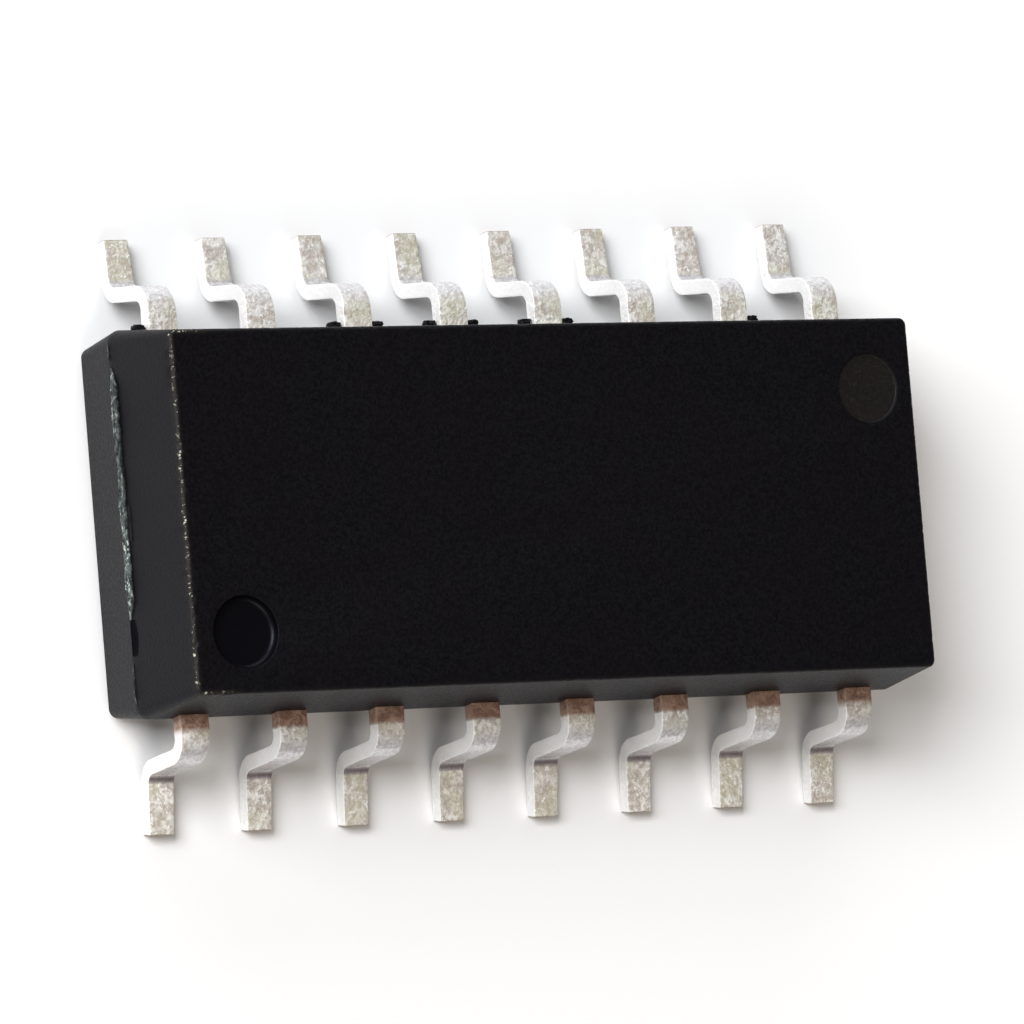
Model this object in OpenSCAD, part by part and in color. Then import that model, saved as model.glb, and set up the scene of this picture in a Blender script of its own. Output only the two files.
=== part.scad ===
// Sixteen-lead small-outline chip with gull-wing leads, in a moulded body.
// Origin: on the seating plane, under the middle of the body. +X along the
// body away from the index mark's end, +Y towards leads 9 to 16, +Z up.

/* [Body] */
// Length of the body at its parting line
body_l = 10.15; // [9.6:0.05:12]
// Width of the body at its parting line
body_w = 4.42; // [4.2:0.02:5.4]
// Height of the top face above the seating plane
body_top = 2.15; // [1.8:0.05:2.6]
// Gap between the seating plane and the body's underside
standoff = 0.1; // [0.05:0.05:0.3]
// Height of the parting line above the seating plane
parting_h = 0.98; // [0.9:0.02:1.1]
// Draft angle of the upper half's sides
draft_upper = 7.5; // [3:0.5:12]
// Draft angle of the lower half's sides
draft_lower = 6.5; // [3:0.5:12]
// Radius of the body's upright corners
corner_r = 0.16; // [0.05:0.01:0.3]
// Radius of the edges round the top and bottom faces
edge_r = 0.05; // [0.02:0.01:0.1]

/* [Round marks] */
// Diameter of the index mark and of the ejector pin marks
mark_d = 0.82; // [0.5:0.02:1.2]
// Depth of the index mark
index_depth = 0.1; // [0.03:0.01:0.2]
// Depth of the ejector pin marks
ejector_depth = 0.03; // [0.01:0.01:0.1]
// Distance of the index mark's centre from the body's end at the parting line
index_from_end = 0.83; // [0.75:0.01:1.5]
// Distance of the index mark's centre from the body's front side
index_from_side = 0.84; // [0.78:0.01:1.2]
// Distance of the ejector marks' centres from the body's ends
ejector_from_end = 0.77; // [0.7:0.01:1.5]
// Distance of the top ejector mark's centre from the body's back side
ejector_from_side = 0.97; // [0.78:0.01:1.2]

/* [Mould remains] */
// Length of the broken-off gate on the index end
gate_l = 2.86; // [1:0.02:3.2]
// Shift of the gate's middle from the body's centre line, towards +Y
gate_shift = 0.35; // [0:0.05:0.5]
// Height of the gate above the parting line
gate_h = 0.14; // [0.1:0.01:0.3]
// How far the broken gate stands out of the end face
gate_proud = 0.045; // [0.02:0.005:0.1]
// Length of the chip that broke out of the body beside the gate
chip_l = 0.42; // [0.2:0.02:0.6]
// Depth of that chip
chip_depth = 0.035; // [0.02:0.005:0.06]
// Width of the resin scraps beside the lead shoulders
scrap_w = 0.19; // [0.1:0.01:0.3]
// How far the resin scraps stand out of the body's long side
scrap_proud = 0.06; // [0.02:0.01:0.12]

/* [Leads] */
// Number of leads along one side
leads_per_side = 8; // [8]
// Distance from one lead's middle to the next
pitch = 1.27; // [1.2:0.01:1.4]
// Distance over the toes of both rows
span = 6.93; // [6.8:0.01:8]
// Thickness of the lead frame's sheet
sheet_t = 0.18; // [0.12:0.01:0.25]
// Width of a lead in the body and where it was cut from the tie strip
shoulder_w = 0.37; // [0.3:0.01:0.5]
// Width of a lead at the start of its leg
leg_w = 0.34; // [0.25:0.01:0.45]
// Width of a lead at its toe
toe_w = 0.31; // [0.25:0.01:0.45]
// Length of the full-width stub outside the body
stub_l = 0.16; // [0.1:0.01:0.3]
// Length of the straight part of the foot
foot_l = 0.58; // [0.3:0.01:0.7]
// How much shorter the back row's first foot is cut than its last, at the index end
trim_skew = 0.11; // [0:0.01:0.15]
// Slope of the foot, toe down
foot_angle = 7; // [0:0.5:8]
// Lean of the leg, away from upright
leg_lean = 6; // [0:1:20]
// Inside radius of the bend at the shoulder
shoulder_r = 0.14; // [0.1:0.01:0.25]
// Inside radius of the bend at the heel
heel_r = 0.12; // [0.1:0.01:0.25]

/* [Lead frame in the body] */
// Length of the die paddle
paddle_l = 3.6; // [2.6:0.1:4.4]
// Width of the die paddle
paddle_w = 1.9; // [1.4:0.1:2.2]
// How far the die paddle is set below the leads
downset = 0.15; // [0.05:0.05:0.3]
// Gap between the lead tips and the die paddle
tip_gap = 0.25; // [0.15:0.01:0.4]
// Distance between lead tips along the paddle, as a share of the pitch
tip_fan = 0.72; // [0.6:0.02:0.9]
// Distance inside the body's side at which a lead turns towards the die
fan_in = 0.44; // [0.4:0.02:0.5]
// The same for the four end leads, which reach round to the paddle's ends
end_fan_in = 1; // [0.9:0.05:1.1]
// Distance of the end leads' tips from the body's middle line
end_tip_y = 0.65; // [0.6:0.05:0.8]
// Width of the bars that carry the paddle
tie_w = 0.4; // [0.2:0.05:0.5]
// Diameter of the resin lock hole in each lead
lock_d = 0.16; // [0.1:0.01:0.2]
// Distance of the lock hole's middle inside the body's side
lock_in = 0.22; // [0.18:0.01:0.3]

/* [Die and wires] */
// Length of the silicon die
die_l = 2.6; // [1.6:0.1:3.2]
// Width of the silicon die
die_w = 1.4; // [1:0.1:1.6]
// Thickness of the silicon die
die_t = 0.28; // [0.2:0.01:0.35]
// Thickness of the die attach layer
attach_t = 0.025; // [0.015:0.005:0.05]
// How far the die attach spreads past the die
attach_spread = 0.06; // [0:0.01:0.1]
// Distance of the bond pads from the die's edge
pad_in = 0.1; // [0.08:0.01:0.2]
// Spacing of the bond pads, as a share of the spacing of the lead tips
pad_fan = 0.8; // [0.7:0.05:0.95]
// Distance of the end leads' bond pads from the die's middle line
end_pad_y = 0.3; // [0.2:0.05:0.4]
// Diameter of the gold bond wires
wire_d = 0.03; // [0.025:0.005:0.05]
// Height of a bond wire's straight neck above the die
neck_h = 0.12; // [0.08:0.01:0.2]
// Radius at the top of a bond wire's loop
loop_r = 0.08; // [0.05:0.01:0.12]
// Diameter of the ball where a wire meets the die
ball_d = 0.075; // [0.06:0.005:0.1]
// Height of that ball
ball_h = 0.02; // [0.015:0.005:0.03]
// Distance of a wire's stitch from the end of its lead
stitch_in = 0.12; // [0.08:0.01:0.2]
// Thickness of a wire's end, pressed flat on the lead
stitch_t = 0.009; // [0.006:0.001:0.015]

/* [Hidden] */
$fn = 48;

resin_colour = "#1b191c";
tin_colour = "#c9c5bd";
copper_colour = "#b87b55";
attach_colour = "#8f9092";
silicon_colour = "#5b5e6b";
gold_colour = "#d8a936";

cut = 0.05;                       // how far a cutter runs past the face it cuts
lead_count = 2 * leads_per_side;
frame_top = parting_h + sheet_t;  // the lead frame lies on the parting plane
paddle_top = frame_top - downset;
attach_top = paddle_top + attach_t;
die_top = attach_top + die_t;
wire_r = wire_d / 2;

// ---- Leads -----------------------------------------------------------------

// Leads 1 to 8 run along -Y in the direction of +X, leads 9 to 16 come back
// along +Y, so the numbers go round the body anticlockwise seen from above.
function in_front(n) = n <= leads_per_side;
function place(n) = in_front(n) ? n - 1 : lead_count - n;
function lead_x(n) = (place(n) - (leads_per_side - 1) / 2) * pitch;
function row(n) = in_front(n) ? -1 : 1;
function is_end_lead(n) = place(n) == 0 || place(n) == leads_per_side - 1;

// Side view of a lead: its centre line starts in the body, bends down at the
// shoulder, runs down the leg, bends out at the heel and ends at the toe.
// u runs outwards from the body's middle and z upwards.
half_t = sheet_t / 2;
leg_angle = 90 - leg_lean;
shoulder_rc = shoulder_r + half_t;
heel_rc = heel_r + half_t;
toe = [span / 2 - half_t * sin(foot_angle), half_t * cos(foot_angle)];
heel_centre = toe + foot_l * [-cos(foot_angle), sin(foot_angle)]
    + heel_rc * [sin(foot_angle), cos(foot_angle)];
shoulder_centre_z = parting_h - shoulder_r;
leg_top_z = shoulder_centre_z + shoulder_rc * cos(leg_angle);
leg_foot_z = heel_centre[1] - heel_rc * cos(leg_angle);
leg_foot_u = heel_centre[0] - heel_rc * sin(leg_angle);
shoulder_u = leg_foot_u - (leg_top_z - leg_foot_z) * tan(leg_lean) - shoulder_rc * sin(leg_angle);
shoulder_centre = [shoulder_u, shoulder_centre_z];

// The back row's toes were cut askew: the nearer the index end, the shorter
function trimmed(n) = in_front(n) ? 0 : trim_skew * (1 - place(n) / (leads_per_side - 1));

// Points of the centre line with the angle at which it goes down there
bend_steps = 10;
function lead_path(n) = concat(
    [[[0, parting_h + half_t], 0]],
    [for (k = [0:bend_steps]) let (a = leg_angle * k / bend_steps)
        [shoulder_centre + shoulder_rc * [sin(a), cos(a)], a]],
    [for (k = [0:bend_steps]) let (a = leg_angle + (foot_angle - leg_angle) * k / bend_steps)
        [heel_centre - heel_rc * [sin(a), cos(a)], a]],
    [[toe + trimmed(n) * [-cos(foot_angle), sin(foot_angle)], foot_angle]]);

module lead_side_view(n) {
    path = lead_path(n);
    polygon(concat(
        [for (p = path) p[0] + half_t * [sin(p[1]), cos(p[1])]],
        [for (p = reversed(path)) p[0] - half_t * [sin(p[1]), cos(p[1])]]));
}

// A strip of sheet of even width along three points, in plan
function reversed(list) = [for (i = [len(list) - 1:-1:0]) list[i]];
function unit(v) = v / norm(v);
function left_of(v) = [-v[1], v[0]];
function knee_shift(a, b, c) =
    let (n0 = left_of(unit(b - a)), n1 = left_of(unit(c - b))) (n0 + n1) / (1 + n0 * n1);
function strip(a, b, c, w) =
    let (h = w / 2, s = left_of(unit(b - a)) * h, m = knee_shift(a, b, c) * h,
         e = left_of(unit(c - b)) * h)
    [a + s, b + m, c + e, c - e, b - m, a - s];

// Where a lead turns and where it ends in the body, with y measured outwards
// from the body's middle. The four end leads reach round to the paddle's ends.
body_side = body_w / 2;
fan_y = paddle_w / 2 + tip_gap;
function tip_x(n) = is_end_lead(n) ? sign(lead_x(n)) * (paddle_l / 2 + tip_gap) : tip_fan * lead_x(n);
function tip(n) = [tip_x(n), is_end_lead(n) ? end_tip_y : fan_y];
function knee(n) = [lead_x(n), body_side - (is_end_lead(n) ? end_fan_in : fan_in)];
function stitch(n) = tip(n) + stitch_in * unit(knee(n) - tip(n));

module lead_plan(n) {
    x = lead_x(n);
    stub_end = body_side + stub_l;
    // distance from the body's middle, and the lead's width there
    widths = [[body_side, shoulder_w], [stub_end, shoulder_w],
              [shoulder_u + shoulder_rc, leg_w], [span / 2 + cut, toe_w]];
    difference() {
        union() {
            polygon(strip([x, stub_end], knee(n), tip(n), shoulder_w));
            polygon([for (side = [-1, 1]) for (q = side < 0 ? widths : reversed(widths))
                [x + side * q[1] / 2, q[0]]]);
        }
        translate([x, body_side - lock_in]) circle(d = lock_d);
    }
}

// The stamped outline and the bent side view, in the back row's place
module back_row_lead(n) {
    intersection() {
        linear_extrude(frame_top + cut) lead_plan(n);
        translate([-body_l, 0, 0]) rotate([90, 0, 90]) linear_extrude(2 * body_l) lead_side_view(n);
    }
}

module lead(n) {
    color(tin_colour)
        if (in_front(n)) mirror([0, 1, 0]) back_row_lead(n);
        else back_row_lead(n);
}

// ---- Paddle, die attach and die ---------------------------------------------

// Side view of the paddle and its two carrying bars, x along and z up
bar_end = body_l / 2 - half_t * tan(draft_upper);
bend_run = downset + sheet_t;     // length over which a bar steps down
step_out = paddle_l / 2 + bend_run;
module paddle_side_view() {
    top = [[-bar_end, frame_top], [-step_out, frame_top], [-paddle_l / 2, paddle_top],
           [paddle_l / 2, paddle_top], [step_out, frame_top], [bar_end, frame_top]];
    polygon(concat(top, [for (p = reversed(top)) p - [0, sheet_t]]));
}

module die_paddle() {
    color(copper_colour) intersection() {
        linear_extrude(frame_top + cut) {
            square([paddle_l, paddle_w], center = true);
            square([body_l, tie_w], center = true);
        }
        translate([0, paddle_w, 0]) rotate([90, 0, 0])
            linear_extrude(2 * paddle_w) paddle_side_view();
    }
}

module slab(l, w, z0, z1) {
    translate([-l / 2, -w / 2, z0]) cube([l, w, z1 - z0]);
}

module die_attach() {
    color(attach_colour)
        slab(die_l + 2 * attach_spread, die_w + 2 * attach_spread, paddle_top, attach_top);
}

module die() {
    color(silicon_colour) slab(die_l, die_w, attach_top, die_top);
}

// ---- Bond wires ---------------------------------------------------------------

// A wire leaves its ball upright, turns over at the top of its loop and comes
// down straight to its stitch. It is drawn in a plane with s along the wire.
pad_y = die_w / 2 - pad_in;
pad_x_end = die_l / 2 - pad_in;
loop_steps = 8;
wire_sides = 8;
function pad(n) = is_end_lead(n) ? [sign(lead_x(n)) * pad_x_end, end_pad_y] : [pad_fan * tip_x(n), pad_y];

// Points of a wire's centre line, with the angle at which it climbs there
function wire_path(len) =
    let (centre = [loop_r, die_top + neck_h], foot = [len, frame_top + wire_r],
         away = foot - centre, fall = atan2(-away[1], away[0]) + asin(loop_r / norm(away)))
    concat(
        [[[0, die_top + ball_h / 2], 90]],
        [for (k = [0:loop_steps]) let (a = 90 - (90 + fall) * k / loop_steps)
            [centre + loop_r * [-sin(a), cos(a)], a]],
        [[foot, -fall]]);

// One round section of a wire, square to its centre line
function wire_ring(p, a, high, wide) =
    [for (k = [0:wire_sides - 1]) let (b = 360 * k / wire_sides)
        [p[0] - high * cos(b) * sin(a), wide * sin(b), p[1] + high * cos(b) * cos(a)]];

module wire_in_plane(len) {
    stitch_r = stitch_t / 2;
    loft(concat(
        [for (p = wire_path(len)) wire_ring(p[0], p[1], wire_r, wire_r)],
        // the wire's end, pressed flat on the lead
        [wire_ring([len + wire_d, frame_top + stitch_r], 0, stitch_r, wire_d)]));
    translate([0, 0, die_top]) cylinder(d = ball_d, h = ball_h);
}

module back_row_wire(n) {
    run = stitch(n) - pad(n);
    translate(pad(n)) rotate(atan2(run[1], run[0])) wire_in_plane(norm(run));
}

module bond_wire(n) {
    color(gold_colour)
        if (in_front(n)) mirror([0, 1, 0]) back_row_wire(n);
        else back_row_wire(n);
}

// ---- Moulded body -------------------------------------------------------------

// One level of the body's outline, drawn in from the parting line's outline
corner_steps = 6;
function ring(inset, z) =
    let (r = max(corner_r - inset / 2, edge_r))
    [for (q = [0:3]) for (k = [0:corner_steps])
        let (a = 90 * (q + k / corner_steps),
             sx = (q == 0 || q == 3) ? 1 : -1, sy = q < 2 ? 1 : -1)
        [sx * (body_l / 2 - inset - r) + r * cos(a), sy * (body_w / 2 - inset - r) + r * sin(a), z]];

// The rounded edge at the end of a drafted side, as [inset, distance to the face]
edge_steps = 3;
function edge(draft, rise, k) =
    let (a = 90 * k / edge_steps)
    [(rise - edge_r) * tan(draft) + edge_r * (1 - cos(a)), edge_r * (1 - sin(a))];

module loft(rings) {
    n = len(rings[0]);
    last = len(rings) - 1;
    polyhedron(
        points = [for (r = rings) each r],
        faces = concat(
            [[for (i = [0:n - 1]) i]],
            [for (j = [0:last - 1]) for (i = [0:n - 1])
                [j * n + i, (j + 1) * n + i, (j + 1) * n + (i + 1) % n, j * n + (i + 1) % n]],
            [[for (i = [n - 1:-1:0]) last * n + i]]));
}

lower_rise = parting_h - standoff;
upper_rise = body_top - parting_h;
module drafted_block() {
    loft(concat(
        [for (k = [edge_steps:-1:0])
            let (e = edge(draft_lower, lower_rise, k)) ring(e[0], standoff + e[1])],
        [ring(0, parting_h)],
        [for (k = [0:edge_steps])
            let (e = edge(draft_upper, upper_rise, k)) ring(e[0], body_top - e[1])]));
}

// The broken face of the gate, as shares of its length and of how far it stands out
gate_break = [[0, 0.3], [0.14, 1], [0.3, 0.6], [0.46, 0.9], [0.6, 0.5], [0.78, 1], [0.92, 0.7], [1, 0.2]];
gate_root = 2 * corner_r;         // how far the gate's solid reaches into the body
gate_side = gate_shift - gate_l / 2;
module gate_remains() {
    translate([-body_l / 2, gate_side, parting_h]) linear_extrude(gate_h)
        polygon(concat([for (b = gate_break) [-b[1] * gate_proud, b[0] * gate_l]],
                       [[gate_root, gate_l], [gate_root, 0]]));
}

// The hollow that a chip left in the upper half, between the gate and the front corner
module gate_chip() {
    slope = gate_h * tan(draft_upper);
    translate([-body_l / 2, gate_side - chip_l, parting_h]) linear_extrude(gate_h)
        polygon([[-gate_proud, 0], [0, 0], [slope + chip_depth, chip_l / 3],
                 [slope + chip_depth, chip_l * 3 / 4], [0, chip_l], [-gate_proud, chip_l]]);
}

// Scraps of resin left where the tie strip was cut off, as [lead, side of the lead]
scraps = [[16, -1], [14, -1], [14, 1], [13, -1], [13, 1], [12, -1], [12, 1], [10, 1]];
module resin_scraps() {
    for (s = scraps)
        translate([lead_x(s[0]) + s[1] * (shoulder_w + scrap_w) / 2, body_side, frame_top - half_t])
            cube([scrap_w, 2 * scrap_proud, sheet_t], center = true);
}

module round_mark(x, y, z, depth) {
    translate([x, y, z - depth]) cylinder(d = mark_d, h = 2 * depth);
}

ejector_x = body_l / 2 - ejector_from_end;
module mould_body() {
    color(resin_colour) difference() {
        union() {
            drafted_block();
            gate_remains();
            resin_scraps();
        }
        gate_chip();
        round_mark(index_from_end - body_l / 2, index_from_side - body_side, body_top, index_depth);
        round_mark(ejector_x, body_side - ejector_from_side, body_top, ejector_depth);
        for (x = [-ejector_x, ejector_x]) round_mark(x, 0, standoff, ejector_depth);
        for (n = [1:lead_count]) lead(n);
        for (n = [1:lead_count]) bond_wire(n);
        die_paddle();
        die_attach();
        die();
    }
}

mould_body();
lead(1);  // lead_01
lead(2);  // lead_02
lead(3);  // lead_03
lead(4);  // lead_04
lead(5);  // lead_05
lead(6);  // lead_06
lead(7);  // lead_07
lead(8);  // lead_08
lead(9);  // lead_09
lead(10);  // lead_10
lead(11);  // lead_11
lead(12);  // lead_12
lead(13);  // lead_13
lead(14);  // lead_14
lead(15);  // lead_15
lead(16);  // lead_16
die_paddle();
die_attach();
die();
bond_wire(1);  // bond_wire_01
bond_wire(2);  // bond_wire_02
bond_wire(3);  // bond_wire_03
bond_wire(4);  // bond_wire_04
bond_wire(5);  // bond_wire_05
bond_wire(6);  // bond_wire_06
bond_wire(7);  // bond_wire_07
bond_wire(8);  // bond_wire_08
bond_wire(9);  // bond_wire_09
bond_wire(10);  // bond_wire_10
bond_wire(11);  // bond_wire_11
bond_wire(12);  // bond_wire_12
bond_wire(13);  // bond_wire_13
bond_wire(14);  // bond_wire_14
bond_wire(15);  // bond_wire_15
bond_wire(16);  // bond_wire_16
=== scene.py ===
"""Looks of a sixteen-lead small-outline chip: its moulded body and its tinned leads.

The frame gives the chip's own axes: +X along the body away from the index mark,
+Y towards leads 9 to 16, +Z up, with the seating plane at zero. Sizes here are in
millimetres, and are turned into metres where a mesh, a node or a light takes them.
"""

import math

import bmesh
import bpy
import numpy as np
from mathutils import Matrix, Vector, noise


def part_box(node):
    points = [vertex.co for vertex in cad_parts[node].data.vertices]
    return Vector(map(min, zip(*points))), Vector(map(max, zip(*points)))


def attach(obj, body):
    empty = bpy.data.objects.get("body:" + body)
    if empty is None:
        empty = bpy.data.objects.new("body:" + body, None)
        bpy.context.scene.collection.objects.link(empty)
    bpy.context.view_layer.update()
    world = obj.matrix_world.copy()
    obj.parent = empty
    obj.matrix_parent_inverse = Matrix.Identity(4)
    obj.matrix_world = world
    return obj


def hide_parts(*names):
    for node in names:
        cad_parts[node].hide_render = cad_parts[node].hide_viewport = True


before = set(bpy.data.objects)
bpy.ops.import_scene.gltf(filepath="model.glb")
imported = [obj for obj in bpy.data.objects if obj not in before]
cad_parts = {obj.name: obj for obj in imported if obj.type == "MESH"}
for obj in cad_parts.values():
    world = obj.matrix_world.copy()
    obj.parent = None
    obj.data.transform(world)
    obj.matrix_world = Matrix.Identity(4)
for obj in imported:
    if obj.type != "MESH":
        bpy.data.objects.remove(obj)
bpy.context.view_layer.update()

MM = 0.001

# ---- Sizes, in millimetres and degrees ---------------------------------------

resin_low, resin_high = (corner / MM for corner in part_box("mould_body"))
body_l = 2 * resin_high.x
body_w = 4.42
body_top = resin_high.z
standoff = resin_low.z
draft_upper = 7.5
draft_lower = 6.5
corner_r = 0.16
edge_r = 0.05
largest_rounded = 0.05  # square mm: a larger face stays flat
body_side = body_w / 2

mark_d = 0.82
index_depth = 0.1
ejector_depth = 0.03
index_place = (0.83 - body_l / 2, 0.84 - body_side)
ejector_place = (body_l / 2 - 0.77, body_side - 0.97)

gate_l = 2.86
gate_shift = 0.35
gate_h = 0.14
gate_proud = 0.045
gate_break = [(0, 0.3), (0.14, 1), (0.3, 0.6), (0.46, 0.9), (0.6, 0.5), (0.78, 1), (0.92, 0.7), (1, 0.2)]
gate_side = gate_shift - gate_l / 2
chip_l = 0.42
chip_depth = 0.035
flash_proud = 0.03
mark_steps = 96
mark_lip = 0.15  # a round mark's rounded rim, as a share of its depth
mark_fillet = 0.7  # the rounding of its floor, as a share of its depth
rim_reach = 0.05
ejector_wear = 0.24  # how much wear the ejector's mark shows, from 0 to 1
scrap_w = 0.19
scrap_proud = 0.06
scraps = [(16, -1), (14, -1), (14, 1), (13, -1), (13, 1), (12, -1), (12, 1), (10, 1)]

leads_per_side = 8
pitch = 1.27
sheet_t = 0.18
shoulder_w = 0.37
leg_w = 0.34
toe_w = 0.31
stub_l = 0.16
foot_l = 0.58
foot_angle = 7
leg_lean = 6
shoulder_r = 0.14
heel_r = 0.12
trim_skew = 0.11
toe_round = 0.006
toe_round_l = 0.012
tip_round = 0.012
strip_edge_r = 0.01
dent_depth = 0.006
dent_size = 0.12
# how far from the body a painted reflection of the dark body reaches on the front row
reflection_reach = 0.16
back_foot_shade = 0.17  # how much painted shade darkens the back row's feet, from 0 to 1
frame_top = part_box("lead_01")[1].z / MM
parting_h = frame_top - sheet_t
span = 2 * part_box("lead_09")[1].y / MM

paddle_l = 3.6
paddle_w = 1.9
tip_gap = 0.25
tip_fan = 0.72
fan_in = 0.44
end_fan_in = 1
end_tip_y = 0.65
lock_d = 0.16
lock_in = 0.22

# ---- Node trees --------------------------------------------------------------


def new_group(name, kind, inputs, outputs):
    """An empty node group with named inputs and outputs, and its two end nodes."""
    tree = bpy.data.node_groups.new(name, kind)
    for label, socket_type, value in inputs:
        socket = tree.interface.new_socket(label, in_out="INPUT", socket_type=socket_type)
        if value is not None:
            socket.default_value = value
    for label, socket_type in outputs:
        tree.interface.new_socket(label, in_out="OUTPUT", socket_type=socket_type)
    return tree, tree.nodes.new("NodeGroupInput").outputs, tree.nodes.new("NodeGroupOutput").inputs


def add(tree, kind, inputs=None, **settings):
    """Adds a node with its settings. An input is a value, or a socket to link from."""
    made = tree.nodes.new(kind)
    for name, value in settings.items():
        setattr(made, name, value)
    for key, value in (inputs or {}).items():
        if isinstance(value, bpy.types.NodeSocket):
            tree.links.new(value, made.inputs[key])
        else:
            made.inputs[key].default_value = value
    return made


def maths(tree, operation, a, b=0.0, clamp=False):
    """The result of a sum on two numbers."""
    return add(tree, "ShaderNodeMath", {0: a, 1: b}, operation=operation, use_clamp=clamp).outputs[0]


def vectors(tree, operation, a, b=None, scale=None):
    """The result of a sum on two vectors, or on a vector and a number."""
    inputs = {0: a}
    if b is not None:
        inputs[1] = b
    if scale is not None:
        inputs["Scale"] = scale
    return add(tree, "ShaderNodeVectorMath", inputs, operation=operation).outputs[0]


def ramp(tree, value, low, high):
    """0 below a range, 1 above it, and a smooth rise between."""
    inputs = {"Value": value, 1: low, 2: high}
    return add(tree, "ShaderNodeMapRange", inputs, interpolation_type="SMOOTHSTEP").outputs[0]


def mix_colour(tree, share, a, b):
    """Colour a turned into colour b by a share."""
    return add(tree, "ShaderNodeMix", {0: share, 6: a, 7: b}, data_type="RGBA").outputs[2]


def mix_value(tree, share, a, b):
    """Number a turned into number b by a share."""
    return add(tree, "ShaderNodeMix", {0: share, 2: a, 3: b}, data_type="FLOAT").outputs[0]


def rgb(red, green, blue):
    """A colour given as it looks on a screen, from 0 to 255, as linear light."""
    return (*[((v / 255 + 0.055) / 1.055) ** 2.4 if v > 10 else v / 255 / 12.92
              for v in (red, green, blue)], 1.0)


# ---- Finishes shared by the materials ----------------------------------------


def scaled_place(tree, given, factor=1.0):
    """Where a pattern is read: one unit to each size, and moved aside by the seed."""
    scale = maths(tree, "DIVIDE", factor / MM, given["Size"])
    shift = maths(tree, "MULTIPLY", given["Seed"], 13.7)
    return vectors(tree, "ADD", vectors(tree, "SCALE", given["Vector"], scale=scale), shift)


def build_grain():
    """Fine grain, as moulding and plating leave it: a shade and a height, 0 to 1."""
    tree, given, out = new_group(
        "fine_grain", "ShaderNodeTree",
        [("Vector", "NodeSocketVector", None), ("Size", "NodeSocketFloat", 0.03),
         ("Seed", "NodeSocketFloat", 0.0)],
        [("Shade", "NodeSocketFloat"), ("Height", "NodeSocketFloat")])
    grain = add(tree, "ShaderNodeTexNoise",
                {"Vector": scaled_place(tree, given), "Scale": 1.0, "Detail": 3.0,
                 "Roughness": 0.6}).outputs[0]
    tree.links.new(ramp(tree, grain, 0.3, 0.7), out["Shade"])
    tree.links.new(grain, out["Height"])
    return tree


def build_flecks():
    """Scattered bright flecks of uneven shape, such as filler laid bare: a mask."""
    tree, given, out = new_group(
        "flecks", "ShaderNodeTree",
        [("Vector", "NodeSocketVector", None), ("Size", "NodeSocketFloat", 0.03),
         ("Amount", "NodeSocketFloat", 0.2), ("Seed", "NodeSocketFloat", 0.0)],
        [("Mask", "NodeSocketFloat")])
    spread = add(tree, "ShaderNodeTexNoise",
                 {"Vector": scaled_place(tree, given), "Scale": 1.0, "Detail": 2.0,
                  "Roughness": 0.7}).outputs[0]
    low = maths(tree, "SUBTRACT", 0.76, maths(tree, "MULTIPLY", given["Amount"], 0.3))
    tree.links.new(ramp(tree, spread, low, maths(tree, "ADD", low, 0.05)), out["Mask"])
    return tree


def build_patches():
    """Uneven patches, as tarnish and plating make them: two masks and a height."""
    tree, given, out = new_group(
        "patches", "ShaderNodeTree",
        [("Vector", "NodeSocketVector", None), ("Size", "NodeSocketFloat", 0.1),
         ("Seed", "NodeSocketFloat", 0.0)],
        [("Broad", "NodeSocketFloat"), ("Spots", "NodeSocketFloat"), ("Height", "NodeSocketFloat")])
    broad = add(tree, "ShaderNodeTexNoise",
                {"Vector": scaled_place(tree, given), "Scale": 1.0, "Detail": 3.0,
                 "Roughness": 0.65, "Distortion": 0.6}).outputs[0]
    spots = add(tree, "ShaderNodeTexNoise",
                {"Vector": scaled_place(tree, given, 2.3), "Scale": 1.0, "Detail": 2.0}).outputs[0]
    tree.links.new(ramp(tree, broad, 0.38, 0.62), out["Broad"])
    tree.links.new(ramp(tree, spots, 0.45, 0.62), out["Spots"])
    both = maths(tree, "ADD", maths(tree, "MULTIPLY", broad, 0.5), maths(tree, "MULTIPLY", spots, 0.5))
    tree.links.new(both, out["Height"])
    return tree


fine_grain = build_grain()
flecks = build_flecks()
patches = build_patches()


def use(tree, group, **inputs):
    """Places a shared finish in a material, and returns its outputs."""
    return add(tree, "ShaderNodeGroup", inputs, node_tree=group).outputs


def new_material(name, **shader_values):
    """A material with a Principled shader and constants on it, and where patterns are read."""
    made = bpy.data.materials.new(name)
    made.use_nodes = True
    tree = made.node_tree
    tree.nodes.clear()
    shader = tree.nodes.new("ShaderNodeBsdfPrincipled")
    end = tree.nodes.new("ShaderNodeOutputMaterial")
    tree.links.new(shader.outputs[0], end.inputs[0])
    for label, value in shader_values.items():
        shader.inputs[label.replace("_", " ")].default_value = value
    place = tree.nodes.new("ShaderNodeTexCoord").outputs["Object"]
    return made, tree, shader.inputs, place


def add_bump(tree, shader, height, distance):
    """Relief of a height of 0 to 1 over a distance in millimetres."""
    bump = add(tree, "ShaderNodeBump", {"Height": height, "Distance": distance * MM, "Strength": 1.0})
    tree.links.new(bump.outputs[0], shader["Normal"])


def mesh_value(tree, name):
    """A value that the mesh carries at each point."""
    return add(tree, "ShaderNodeAttribute", attribute_name=name).outputs["Fac"]


# ---- Materials ---------------------------------------------------------------


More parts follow.
